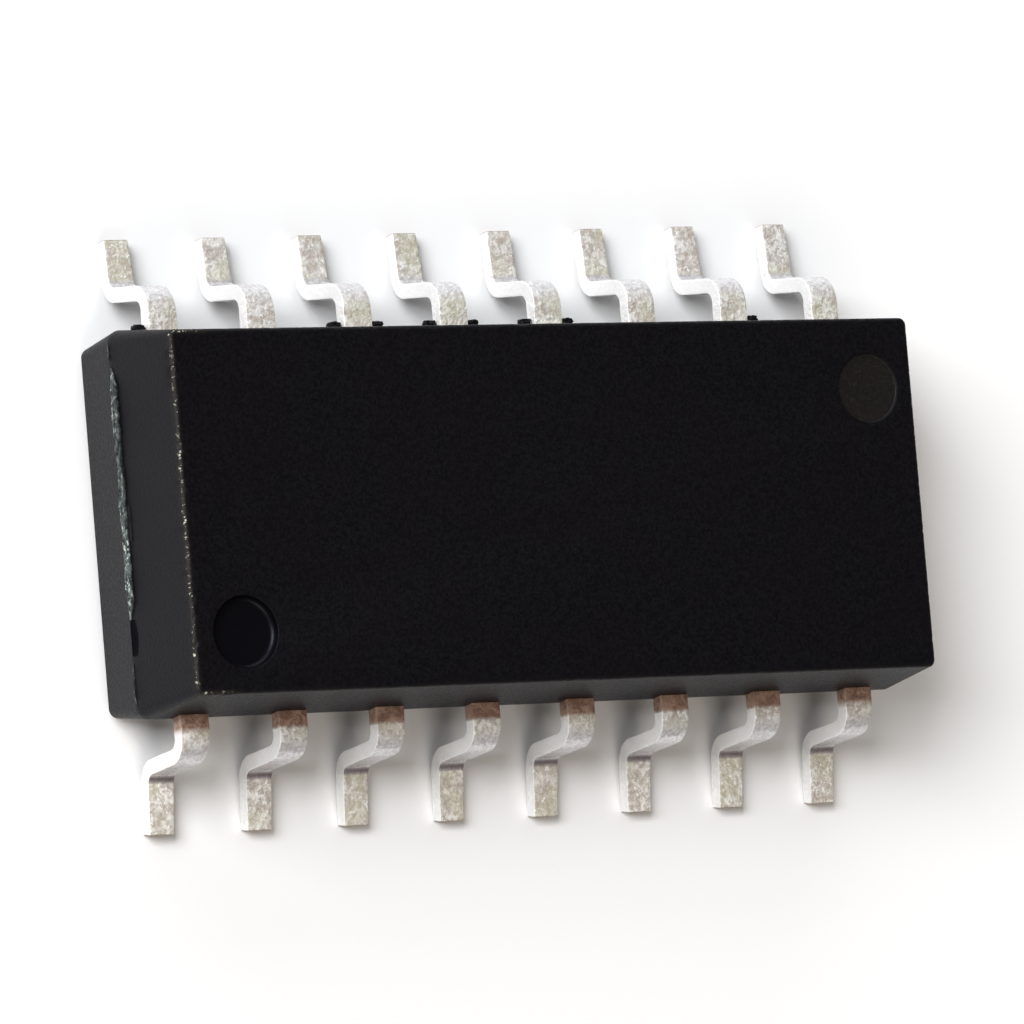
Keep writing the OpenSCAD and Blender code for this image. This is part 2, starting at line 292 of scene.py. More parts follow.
def moulding_compound():
    """Black filled epoxy: matt and speckled, greyer with pale flecks where rubbing wore its edges and,
    along the index end, a painted highlight;
    paler where the gate broke off, with painted glints, painted near-black as shade in the chip's
    recess, and smooth in the round marks."""
    made, tree, shader, place = new_material("moulding_compound", Specular_IOR_Level=0.15,
                                             Specular_Tint=(0.78, 0.82, 1.0, 1))
    grain = use(tree, fine_grain, Vector=place, Size=0.035)
    wear_and_highlight, broken, pressed, hollow = (
        mesh_value(tree, name) for name in ("wear_and_highlight", "broken", "pressed", "hollow"))
    cloud = use(tree, patches, Vector=place, Size=0.9, Seed=3.0)

    plain = mix_colour(tree, grain["Shade"], rgb(6, 5, 7), rgb(14, 13, 15))
    plain = mix_colour(tree, maths(tree, "MULTIPLY", cloud["Broad"], 0.35), plain, rgb(14, 10, 10))
    dust = use(tree, flecks, Vector=place, Size=0.045, Amount=0.12, Seed=1.0)
    plain = mix_colour(tree, maths(tree, "MULTIPLY", dust["Mask"], 0.2), plain, rgb(66, 62, 48))
    smooth = mix_colour(tree, pressed, plain, rgb(7, 6, 9))
    # wear on the rim, and a painted highlight along the index end's top edge: greyer, with pale flecks
    rubbed_and_highlit = mix_colour(tree, maths(tree, "MULTIPLY", wear_and_highlight, 0.7), smooth, rgb(54, 49, 43))
    chip_and_highlight_flecks = use(tree, flecks, Vector=place, Size=0.045, Amount=0.6, Seed=5.0)
    clusters = use(tree, patches, Vector=place, Size=0.35, Seed=6.0)
    bare_and_highlight_flecks = maths(tree, "MULTIPLY", chip_and_highlight_flecks["Mask"], ramp(tree, wear_and_highlight, 0.2, 0.7))
    bare_and_highlight_flecks = maths(tree, "MULTIPLY", bare_and_highlight_flecks, mix_value(tree, clusters["Spots"], 0.3, 1.0))
    rubbed_and_highlit = mix_colour(tree, bare_and_highlight_flecks, rubbed_and_highlit, rgb(176, 180, 162))

    along_gate = vectors(tree, "MULTIPLY", place, (1.0, 0.4, 1.0))
    torn = use(tree, patches, Vector=along_gate, Size=0.05, Seed=2.0)
    scar = mix_colour(tree, torn["Broad"], rgb(32, 35, 36), rgb(84, 90, 88))
    # painted glints: pale flecks on the gate's scar and along the parting line's flash
    glint = use(tree, flecks, Vector=along_gate, Size=0.04, Amount=0.72, Seed=9.0)
    pale = mix_colour(tree, torn["Spots"], rgb(122, 132, 126), rgb(206, 216, 208))
    scar = mix_colour(tree, maths(tree, "MULTIPLY", glint["Mask"], broken), scar, pale)
    torn_share = maths(tree, "MULTIPLY", broken, 1.6, clamp=True)
    scarred = mix_colour(tree, torn_share, rubbed_and_highlit, scar)
    # painted shade: the chip's recess is coloured near-black
    tree.links.new(mix_colour(tree, hollow, scarred, rgb(4, 4, 6)), shader["Base Color"])

    rough = mix_value(tree, grain["Shade"], 0.42, 0.54)
    rough = mix_value(tree, pressed, rough, 0.36)
    rough = mix_value(tree, maths(tree, "MAXIMUM", wear_and_highlight, broken), rough, 0.6)
    tree.links.new(mix_value(tree, hollow, rough, 1.0), shader["Roughness"])
    relief = maths(tree, "MULTIPLY", grain["Height"], mix_value(tree, pressed, 1.0, 0.3))
    add_bump(tree, shader, relief, 0.006)
    return made


def tin_plate():
    """Dull tin: mottled and rough on its flat stretches, with painted glints, burnished where it was
    bent, with a painted highlight on its shear-cut sides, bare at its cut end, brown with a painted
    reflection of the dark body next to it on the front row, and darkened by painted shade in the front
    row's heel bends and on the back row's feet."""
    made, tree, shader, place = new_material("tin_plate")
    mottle = use(tree, patches, Vector=place, Size=0.125)
    fine = use(tree, fine_grain, Vector=place, Size=0.03, Seed=2.0)
    burnished, reflecting_body, sheared_highlight, bare, in_shade = (
        mesh_value(tree, name) for name in ("burnish", "body_reflection", "sheared_highlight", "bare", "painted_shade"))

    flat = mix_colour(tree, mottle["Broad"], rgb(204, 197, 188), rgb(250, 249, 245))
    flat = mix_colour(tree, maths(tree, "MULTIPLY", mottle["Spots"], 0.62), flat, rgb(168, 156, 144))
    tint = use(tree, patches, Vector=place, Size=1.1, Seed=11.0)
    flat = mix_colour(tree, maths(tree, "MULTIPLY", tint["Spots"], 0.45), flat, rgb(196, 196, 164))
    flat = mix_colour(tree, maths(tree, "MULTIPLY", tint["Broad"], 0.2), flat, rgb(196, 180, 172))
    # painted glints: bright white flecks on the flat tin
    bright = use(tree, flecks, Vector=place, Size=0.06, Amount=0.45, Seed=4.0)
    flat = mix_colour(tree, maths(tree, "MULTIPLY", bright["Mask"], 0.85), flat, rgb(252, 252, 250))
    bent = mix_colour(tree, fine["Shade"], rgb(202, 201, 204), rgb(240, 240, 242))
    bent = mix_colour(tree, maths(tree, "MULTIPLY", mottle["Spots"], 0.35), bent, rgb(170, 158, 158))
    shade = mix_colour(tree, burnished, flat, bent)
    # painted shade: darkens the front row's heel bends and the back row's feet
    shade = mix_colour(tree, maths(tree, "MULTIPLY", in_shade, 0.8), shade, rgb(112, 98, 104))
    # painted highlight: the shear-cut sides are made lighter
    shade = mix_colour(tree, maths(tree, "MULTIPLY", sheared_highlight, 0.85), shade, rgb(240, 239, 238))
    # painted reflection: brown where the front row mirrors the dark body beside it
    brown = mix_colour(tree, mottle["Broad"], rgb(136, 104, 90), rgb(172, 142, 124))
    shade = mix_colour(tree, reflecting_body, shade, brown)
    copper = mix_colour(tree, fine["Shade"], rgb(84, 62, 52), rgb(140, 118, 104))
    tree.links.new(mix_colour(tree, bare, shade, copper), shader["Base Color"])

    dull = maths(tree, "MAXIMUM", reflecting_body, bare)
    bent_only = maths(tree, "SUBTRACT", burnished, sheared_highlight, clamp=True)
    metal = mix_value(tree, bent_only, 0.15, 0.5)
    tree.links.new(mix_value(tree, dull, metal, 0.15), shader["Metallic"])
    rough = mix_value(tree, mottle["Spots"], 0.42, 0.6)
    tree.links.new(mix_value(tree, burnished, rough, 0.34), shader["Roughness"])
    relief = maths(tree, "ADD", maths(tree, "MULTIPLY", mottle["Height"], 0.75),
                   maths(tree, "MULTIPLY", fine["Height"], 0.25))
    relief = maths(tree, "MULTIPLY", relief, mix_value(tree, burnished, 1.0, 0.35))
    add_bump(tree, shader, relief, 0.035)
    return made


def rolled_copper():
    """Bare lead frame copper with a faint rolled grain and tarnish."""
    made, tree, shader, place = new_material("rolled_copper", Specular_IOR_Level=0.15)
    stretched = add(tree, "ShaderNodeMapping", {"Vector": place, "Scale": (0.15, 1.0, 1.0)}).outputs[0]
    rolled = use(tree, fine_grain, Vector=stretched, Size=0.03)
    tarnish = use(tree, patches, Vector=place, Size=0.5)
    shade = mix_colour(tree, rolled["Shade"], rgb(176, 112, 80), rgb(206, 142, 104))
    shade = mix_colour(tree, maths(tree, "MULTIPLY", tarnish["Broad"], 0.5), shade, rgb(112, 76, 56))
    along = maths(tree, "ABSOLUTE", add(tree, "ShaderNodeSeparateXYZ", {0: place}).outputs[0])
    end = body_l / 2
    oxide = ramp(tree, along, (end - 0.05) * MM, (end - 0.03) * MM)
    dark = mix_colour(tree, tarnish["Spots"], rgb(12, 12, 14), rgb(26, 25, 26))
    tree.links.new(mix_colour(tree, oxide, shade, dark), shader["Base Color"])
    tree.links.new(maths(tree, "SUBTRACT", 1.0, oxide), shader["Metallic"])
    tree.links.new(mix_value(tree, tarnish["Spots"], 0.34, 0.5), shader["Roughness"])
    add_bump(tree, shader, rolled["Height"], 0.003)
    return made


def silver_epoxy():
    """Silver-filled glue under the die: grey paste with fine metal flecks."""
    made, tree, shader, place = new_material("silver_epoxy", Metallic=0.5)
    paste = use(tree, fine_grain, Vector=place, Size=0.02)
    shine = use(tree, flecks, Vector=place, Size=0.02, Amount=0.5)
    shade = mix_colour(tree, paste["Shade"], rgb(128, 129, 131), rgb(158, 159, 161))
    tree.links.new(mix_colour(tree, shine["Mask"], shade, rgb(214, 214, 216)), shader["Base Color"])
    tree.links.new(mix_value(tree, shine["Mask"], 0.6, 0.3), shader["Roughness"])
    add_bump(tree, shader, paste["Height"], 0.004)
    return made


def polished_silicon():
    """The die: dark polished silicon with a faint violet cast from its oxide."""
    made, tree, shader, place = new_material("polished_silicon", Metallic=0.6)
    film = use(tree, patches, Vector=place, Size=0.8)
    block = add(tree, "ShaderNodeTexVoronoi", {"Vector": place, "Scale": 6.0 / MM}, distance="CHEBYCHEV")
    shade = mix_colour(tree, film["Broad"], rgb(84, 88, 104), rgb(104, 96, 118))
    lines = ramp(tree, block.outputs["Distance"], 0.3, 0.4)
    tree.links.new(mix_colour(tree, maths(tree, "MULTIPLY", lines, 0.3), shade, rgb(128, 132, 120)),
                   shader["Base Color"])
    tree.links.new(mix_value(tree, lines, 0.16, 0.24), shader["Roughness"])
    return made


def drawn_gold():
    """Bond wire gold, drawn to a fine thread."""
    made, tree, shader, place = new_material("drawn_gold", Metallic=1.0)
    drawn = use(tree, fine_grain, Vector=place, Size=0.01)
    shade = mix_colour(tree, drawn["Shade"], rgb(226, 176, 70), rgb(244, 200, 96))
    tree.links.new(shade, shader["Base Color"])
    tree.links.new(mix_value(tree, drawn["Shade"], 0.22, 0.32), shader["Roughness"])
    return made


def pale_card():
    """The floor: smooth pale card."""
    made, _, shader, _ = new_material("pale_card", Roughness=0.9, Specular_IOR_Level=0.1)
    shader["Base Color"].default_value = (0.88, 0.88, 0.885, 1)
    return made


# ---- Meshes ------------------------------------------------------------------


def mesh_object(name, mesh):
    """Puts a mesh, a lamp or a camera into the scene."""
    made = bpy.data.objects.new(name, mesh)
    bpy.context.scene.collection.objects.link(made)
    return made


def mesh_from(name, points, faces, edges=()):
    """A mesh from points in millimetres."""
    mesh = bpy.data.meshes.new(name)
    mesh.from_pydata((np.asarray(points, float) * MM).tolist(), list(edges), faces)
    return mesh


def lofted(name, rings):
    """A closed mesh through rings of the same number of points, lowest ring first."""
    count = len(rings[0])
    faces = [(j * count + i, j * count + (i + 1) % count, (j + 1) * count + (i + 1) % count,
              (j + 1) * count + i) for j in range(len(rings) - 1) for i in range(count)]
    last = (len(rings) - 1) * count
    faces.append(tuple(range(count - 1, -1, -1)))
    faces.append(tuple(last + i for i in range(count)))
    return mesh_from(name, np.concatenate(rings), faces)


def turned(name, profile, place):
    """A closed mesh turned round an upright axis at a place, from its profile of
    (radius, height) points, the first and the last of them on the axis."""
    rings = []
    for radius, height in profile[1:-1]:
        turn = np.linspace(0, 2 * math.pi, mark_steps, endpoint=False)
        rings.append(np.stack([place[0] + radius * np.cos(turn), place[1] + radius * np.sin(turn),
                               np.full(mark_steps, height)], 1))
    return lofted(name, rings)


def joined(name, parts):
    """One mesh of several closed ones that don't touch, with its faces outwards."""
    whole = bmesh.new()
    for part in parts:
        whole.from_mesh(part)
    bmesh.ops.recalc_face_normals(whole, faces=whole.faces)
    mesh = bpy.data.meshes.new(name)
    whole.to_mesh(mesh)
    whole.free()
    return mesh


def apply_modifiers(piece):
    """Turns a piece with its modifiers into a plain mesh."""
    graph = bpy.context.evaluated_depsgraph_get()
    plain = bpy.data.meshes.new_from_object(piece.evaluated_get(graph))
    piece.modifiers.clear()
    piece.data = plain


def cut_or_join(piece, tool_mesh, operation):
    """Cuts a closed mesh out of a piece, or joins it on."""
    tool = mesh_object("tool", tool_mesh)
    change = piece.modifiers.new("change", "BOOLEAN")
    change.operation = operation
    change.solver = "EXACT"
    change.object = tool
    apply_modifiers(piece)
    bpy.data.objects.remove(tool)


def rounded(start, corner, end, radius):
    """A bend of even radius in a profile, between two straight stretches."""
    steps = 6
    a, b, c = (np.array(p, float) for p in (start, corner, end))
    u, v = (a - b) / np.linalg.norm(a - b), (c - b) / np.linalg.norm(c - b)
    half = math.acos(float(u @ v)) / 2
    centre = b + (u + v) / np.linalg.norm(u + v) * radius / math.sin(half)
    p0, p1 = b + u * radius / math.tan(half), b + v * radius / math.tan(half)
    t0, t1 = math.atan2(*(p0 - centre)[::-1]), math.atan2(*(p1 - centre)[::-1])
    sweep = (t1 - t0 + math.pi) % (2 * math.pi) - math.pi
    return [tuple(centre + radius * np.array([math.cos(t0 + sweep * k / steps),
                                              math.sin(t0 + sweep * k / steps)]))
            for k in range(steps + 1)]


# ---- Moulded body ------------------------------------------------------------


def body_ring(inset, height):
    """One level of the body's outline, drawn in from the outline at the parting line."""
    r = max(corner_r - inset / 2, edge_r)
    half = np.array([body_l / 2 - inset - r, body_side - inset - r])
    corner_steps, side_steps, end_steps = 12, 300, 200
    points = []
    for quarter, (sx, sy) in enumerate([(1, 1), (-1, 1), (-1, -1), (1, -1)]):
        centre = half * (sx, sy)
        for k in range(corner_steps):
            turn = math.pi / 2 * (quarter + k / corner_steps)
            points.append(centre + r * np.array([math.cos(turn), math.sin(turn)]))
        turn = math.pi / 2 * (quarter + 1)
        out = r * np.array([math.cos(turn), math.sin(turn)])
        steps = side_steps if quarter % 2 == 0 else end_steps
        onward = half * [(-1, 1), (-1, -1), (1, -1), (1, 1)][quarter]
        for k in range(steps):
            points.append(centre + out + (onward - centre) * k / steps)
    return np.column_stack([points, np.full(len(points), height)])


def half_body_levels(draft, rise):
    """(inset, distance from the parting line) of each level of one half of the body."""
    lean = math.tan(math.radians(draft))
    straight = rise - edge_r
    levels = [(straight * lean * t, straight * t) for t in np.linspace(0, 1, 18)[1:-1]]
    for a in np.linspace(0, math.pi / 2, 9):
        levels.append((straight * lean + edge_r * (1 - math.cos(a)), straight + edge_r * math.sin(a)))
    inset = straight * lean + edge_r
    levels += [(inset + more, rise) for more in (0.012, 0.03, 0.06, 0.1, 0.16)]
    return levels


def round_cutter(place, face, depth, up):
    """What presses a round mark into a flat face: rounded at its floor and its rim."""
    r, lip, reach = mark_d / 2, mark_lip * depth, 0.1
    profile = [(0, -depth)]
    profile += rounded((0, -depth), (r, -depth), (r, 0), mark_fillet * depth)
    for a in np.linspace(0.2, math.pi / 2, 5):
        profile.append((r + lip * (1 - math.cos(a)), lip * (math.sin(a) - 1)))
    profile += [(r + lip, reach), (0, reach)]
    return turned("mark", [(x, face + up * z) for x, z in profile], place)


def roughness_at(x, y, z, size):
    """A smooth random number from about -1 to 1 that varies over a size."""
    return noise.noise(Vector((x, y, z)) / size)


def gate_ridge():
    """The ridge that the gate left when it broke: ragged, and thin at its ends."""
    steps = 300
    root = -body_l / 2 + 2 * corner_r
    face = [(0.08, 0.5), (0.2, 0.85), (0.35, 0.7), (0.5, 0.6), (0.65, 0.7), (0.8, 0.85), (0.92, 0.5)]
    rings = []
    for t in np.linspace(0, 1, steps + 1):
        y = gate_side + gate_l * t
        broken_at = gate_proud * float(np.interp(t, *zip(*gate_break)))
        taper = min(1, 0.35 + 9 * min(t, 1 - t))
        uneven = 0.93 + 0.12 * roughness_at(2, y, 0, 0.11) + 0.08 * roughness_at(2, y, 3, 0.03)
        top = min(gate_h * taper * uneven, gate_h)
        ring = [(root, y, parting_h)]
        for level, share in face:
            z = parting_h + top * level
            rough = 0.6 * roughness_at(0, y, z, 0.09) + 0.6 * roughness_at(5, y, z, 0.03)
            out = broken_at * taper * min(1, max(0.05, share + 0.6 * rough))
            ring.append((-body_l / 2 - out, y, z))
        ring.append((root, y, parting_h + top))
        rings.append(np.array(ring))
    return lofted("gate", rings)


def chip_cutter():
    """The recess that a chip left beside the gate, with a shell-like floor."""
    steps = 60
    start, back = gate_side - chip_l, -body_l / 2 - 2 * gate_proud
    rings = []
    for t in np.linspace(0, 1, steps + 1):
        y = start + chip_l * t
        deep = chip_depth * (0.08 + 0.92 * math.sin(math.pi * t) ** 0.5)
        ring = [(back, y, parting_h)]
        for level in np.linspace(0, 1, 9):
            z = parting_h + gate_h * level * (0.75 + 0.25 * math.sin(math.pi * t))
            slope = (z - parting_h) * math.tan(math.radians(draft_upper))
            shell = deep * math.sin(math.pi * (0.12 + 0.76 * level))
            rough = 0.25 * deep * roughness_at(3, y, z, 0.05)
            ring.append((-body_l / 2 + slope + shell + rough, y, z))
        ring.append((back, y, ring[-1][2]))
        rings.append(np.array(ring))
    return lofted("chip", rings)


def flash_sliver(start, end, seed):
    """A sliver of resin that leaked out along the parting line of the index end."""
    steps = 90
    rings = []
    for t in np.linspace(0, 1, steps + 1):
        y = start + (end - start) * t
        out = flash_proud * math.sin(math.pi * t) ** 0.4
        out *= 0.6 + 0.7 * roughness_at(seed, y, 0, 0.06) + 0.3 * roughness_at(seed, y, 1, 0.02)
        tip = (-body_l / 2 - max(out, 0.002), y, parting_h + 0.004)
        rings.append(np.array([(-body_l / 2 + 0.03, y, parting_h - 0.012), tip,
                               (-body_l / 2 + 0.03, y, parting_h + 0.014)]))
    return lofted("flash", rings)


def resin_scrap(number, side):
    """A rough crumb of resin beside a lead's shoulder, where the tie strip was cut off."""
    _, x, row = lead_row(number)
    shape = bmesh.new()
    bmesh.ops.create_icosphere(shape, subdivisions=4, radius=1)
    x += side * (shoulder_w + scrap_w) / 2
    for vert in shape.verts:
        away = np.array(vert.co)
        block = away / np.abs(away).max() * 0.5 + away * 0.5
        lump = 1 - 0.16 * (1 + roughness_at(number + 4 * side, *(away[:2] + away[2]), 0.4))
        lump -= 0.07 * (1 + roughness_at(*away, 0.13))
        vert.co = (Vector((x, row * body_side, frame_top - sheet_t / 2))
                   + Vector(block * lump * (scrap_w / 2, scrap_proud, sheet_t / 2))) * MM
    mesh = bpy.data.meshes.new("scrap")
    shape.to_mesh(mesh)
    shape.free()
    return mesh


def carve_wear_and_mark_painted_light(mesh):
    """Nibbles the body's rim, and marks its rim wear, raised along the index end as a painted highlight;
    where it broke, with a painted glint zone on the gate's scar; where it was pressed smooth; and the
    chip's recess, for painted shade.
    """
    count = len(mesh.vertices)
    place = np.empty(count * 3)
    mesh.vertices.foreach_get("co", place)
    place = place.reshape(-1, 3) / MM
    x, y, z = place.T
    lean = math.tan(math.radians(draft_upper))
    inset = (z - parting_h) * lean
    from_end = body_l / 2 - inset - np.abs(x)
    from_side = body_side - inset - np.abs(y)
    from_top = body_top - z
    nearest = np.minimum(from_end, from_side)
    rim = np.exp(-((np.maximum(from_top, 0) ** 2 + np.maximum(nearest, 0) ** 2) / rim_reach ** 2))
    rim *= (z > parting_h + 0.3)
    on_rim = rim > 0.02
    fine = np.array([noise.noise(Vector(point * 14)) for point in place[on_rim]])
    coarse = np.array([noise.noise(Vector(point * 3 + (7, 0, 0))) for point in place[on_rim]])
    bite = np.zeros(count)
    bite[on_rim] = np.clip(fine + 0.4 * coarse - 0.12, 0, 0.5)
    index_end = 1 / (1 + np.exp((x + body_l / 2 - 0.6) * 12))
    bite *= rim * (0.012 + 0.045 * index_end)
    inward = np.column_stack([-np.sign(x) * (from_end < from_side),
                              -np.sign(y) * (from_side <= from_end), -np.ones(count)])
    place += inward * bite[:, None] * 0.7
    mesh.vertices.foreach_set("co", (place * MM).ravel())

    # wear all round the rim, raised along the index end as a painted highlight
    wear_and_highlight = rim ** 2.2 * (0.1 + 0.9 * index_end)
    past_side = -body_l / 2 + np.maximum(inset, 0) - x
    on_gate = (y > gate_side - chip_l) * (z > parting_h - 0.03) * (z < parting_h + gate_h + 0.03)
    on_gate = on_gate * (y < gate_side + gate_l) * (x < 0)
    broken = on_gate * (np.abs(past_side) > 0.004) * (np.abs(past_side) < 0.1) * 1.0
    # painted glint zone: the gate's scar is palest and glints most around y = -0.5 mm
    glint_zone = np.exp(-((y + 0.5) / 0.42) ** 2)
    broken *= 0.4 + 0.6 * glint_zone
    # painted shade: marks the chip's recess beside the gate
    hollow = (past_side < -0.005) * on_gate * (y < gate_side) * 1.0
    broken *= 1 - hollow
    broken = np.maximum(broken, 0.8 * (past_side > 0.003) * (np.abs(z - parting_h) < 0.03))
    sunk = (z < body_top - 0.001) & (z > body_top - 1.1 * index_depth)
    pressed = 1.0 * sunk * (np.hypot(x - index_place[0], y - index_place[1]) < mark_d / 2 + 0.005)
    on_ejector = sunk * (np.hypot(x - ejector_place[0], y - ejector_place[1]) < mark_d / 2 + 0.005)
    wear_and_highlight = np.maximum(wear_and_highlight, ejector_wear * on_ejector)
    for name, values in (("wear_and_highlight", wear_and_highlight), ("broken", broken), ("pressed", pressed), ("hollow", hollow)):
        kept = mesh.attributes.new(name, "FLOAT", "POINT")
        kept.data.foreach_set("value", values.astype(np.float32))


def build_body(material):
    """The moulded body, with the traces of what broke off it, what is stuck to it and what is pressed
    into it.
    """
    upper = half_body_levels(draft_upper, body_top - parting_h)
    lower = half_body_levels(draft_lower, parting_h - standoff)
    rings = [body_ring(inset, parting_h - rise) for inset, rise in reversed(lower)]
    rings.append(body_ring(0, parting_h))
    rings += [body_ring(inset, parting_h + rise) for inset, rise in upper]
    body = mesh_object("moulded_body", lofted("moulded_body", rings))
    remains = [gate_ridge(),
               flash_sliver(-body_side + corner_r, gate_side - chip_l - 0.08, 1),
               flash_sliver(gate_side + gate_l + 0.08, body_side - corner_r, 2)]
    remains += [resin_scrap(number, side) for number, side in scraps]
    cut_or_join(body, joined("remains", remains), "UNION")
    hollows = [chip_cutter(),
               round_cutter(index_place, body_top, index_depth, 1),
               round_cutter(ejector_place, body_top, ejector_depth, 1)]
    hollows += [round_cutter((x, 0), standoff, ejector_depth, -1)
                for x in (-ejector_place[0], ejector_place[0])]
    cut_or_join(body, joined("hollows", hollows), "DIFFERENCE")
    carve_wear_and_mark_painted_light(body.data)
    body.data.materials.clear()
    body.data.materials.append(material)
    for face in body.data.polygons:
        face.use_smooth = face.area < largest_rounded * MM * MM
    body.data.set_sharp_from_angle(angle=math.radians(40))
    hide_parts("mould_body")
    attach(body, "root")


# ---- Leads -------------------------------------------------------------------


def lead_row(number):
    """(place along the row from the index end, x of its middle, side) of a lead."""
    in_front = number <= leads_per_side
    place = number - 1 if in_front else 2 * leads_per_side - number
    x = (place - (leads_per_side - 1) / 2) * pitch
    return place, x, -1 if in_front else 1


def side_view(trim):
    """The lead's bent stretch: centre line points (u outwards, z up), how steeply it
    goes down there, how much the forming tool burnished it, and how much painted shade darkens it."""
    half_t = sheet_t / 2
    leg_angle, foot = math.radians(90 - leg_lean), math.radians(foot_angle)
    outer_r, inner_r = shoulder_r + half_t, heel_r + half_t
    toe = np.array([span / 2 - half_t * math.sin(foot), half_t * math.cos(foot)])
    heel = toe + foot_l * np.array([-math.cos(foot), math.sin(foot)]) \
        + inner_r * np.array([math.sin(foot), math.cos(foot)])
    top = parting_h - shoulder_r
    leg_top = top + outer_r * math.cos(leg_angle)
    leg_end = heel - inner_r * np.array([math.sin(leg_angle), math.cos(leg_angle)])
    shoulder_u = (leg_end[0] - (leg_top - leg_end[1]) / math.tan(leg_angle)
                  - outer_r * math.sin(leg_angle))
    shoulder = np.array([shoulder_u, top])

    line = []
    for k in np.linspace(0, 1, 15):
        a = leg_angle * k
        line.append((shoulder + outer_r * np.array([math.sin(a), math.cos(a)]), a, min(1, 2 * k), 0))
    for k in np.linspace(0, 1, 12)[1:-1]:
        line.append((line[14][0] * (1 - k) + leg_end * k, leg_angle, 1, 0))
    for k in np.linspace(0, 1, 15):
        a = leg_angle + (foot - leg_angle) * k
        # painted shade, deepest in the heel's bend
        painted_shade = math.sin(math.pi * min(1, max(0, k - 0.25) / 0.75)) ** 0.7
        burnish = min(1, 3 * (1 - k))
        line.append((heel - inner_r * np.array([math.sin(a), math.cos(a)]), a, burnish, painted_shade))
    foot_start = line[-1][0]
    foot_end = toe + trim * np.array([-math.cos(foot), math.sin(foot)])
    for k in np.linspace(0, 1, 22)[1:]:
        line.append((foot_start * (1 - k) + foot_end * k, foot, 0, 0))
    return line, shoulder_u, outer_r


def lead_line(number):
    """A lead's centre line from its tip in the body to its toe, as rows of
    (point, across, up, width, shrink, burnish, painted shade)."""
    place, x, side = lead_row(number)
    at_end = place in (0, leads_per_side - 1)
    trim = trim_skew * (1 - place / (leads_per_side - 1)) if side > 0 else 0
    bent, shoulder_u, outer_r = side_view(trim)
    z = parting_h + sheet_t / 2
    if at_end:
        tip = np.array([math.copysign(paddle_l / 2 + tip_gap, x), end_tip_y])
    else:
        tip = np.array([tip_fan * x, paddle_w / 2 + tip_gap])
    knee = np.array([x, body_side - (end_fan_in if at_end else fan_in)])
    stub = np.array([x, body_side + stub_l])
    inward, outward = knee - tip, stub - knee
    inward, outward = inward / np.linalg.norm(inward), outward / np.linalg.norm(outward)
    sideways = np.array([inward[1], -inward[0]])
    mitre = sideways + np.array([outward[1], -outward[0]])
    mitre /= np.linalg.norm(mitre)
    mitre_width = shoulder_w / float(mitre @ sideways)
    up = np.array([0, 0, 1.0])
    rows = []
    for k in (0, 0.02, 0.05, 0.12, 0.5, 0.95):
        point = tip + (knee - tip) * k
        rows.append((np.array([*point, z]), np.array([*sideways, 0]), up, shoulder_w, 0, 0, 0))
    rows.append((np.array([*knee, z]), np.array([*mitre, 0]), up, mitre_width, 0, 0, 0))
    for u in np.linspace(knee[1], bent[0][0][0], 30)[2:-1]:
        rows.append((np.array([x, u, z]), np.array([1, 0, 0]), up, shoulder_w, 0, 0, 0))
    widths = ([body_side + stub_l, shoulder_u + outer_r, span / 2], [shoulder_w, leg_w, toe_w])
    for point, fall, burnish, painted_shade in bent:
        normal = np.array([0, math.sin(fall), math.cos(fall)])
        rows.append((np.array([x, *point]), np.array([1, 0, 0]), normal,
                     float(np.interp(point[0], *widths)), 0, burnish, painted_shade))
    # The cut ends of the toe and of the tip are drawn in, so that they are rounded.
    point, across, normal, width, *_ = rows[-1]
    back = rows[-2][0] - point
    before_end = point + back * toe_round_l / np.linalg.norm(back)
    rows[-1] = (before_end, across, normal, width, 0, 0, 0)
    rows.append((point, across, normal, width, toe_round, 0, 0))
    point, across, normal, width, *_ = rows[0]
    rows[0] = (point, across, normal, width, tip_round, 0, 0)
    if side < 0:
        rows = [(p * (1, -1, 1), a * (1, -1, 1), n * (1, -1, 1), *rest) for p, a, n, *rest in rows]
    return rows, (x, side * (body_side - lock_in), z)


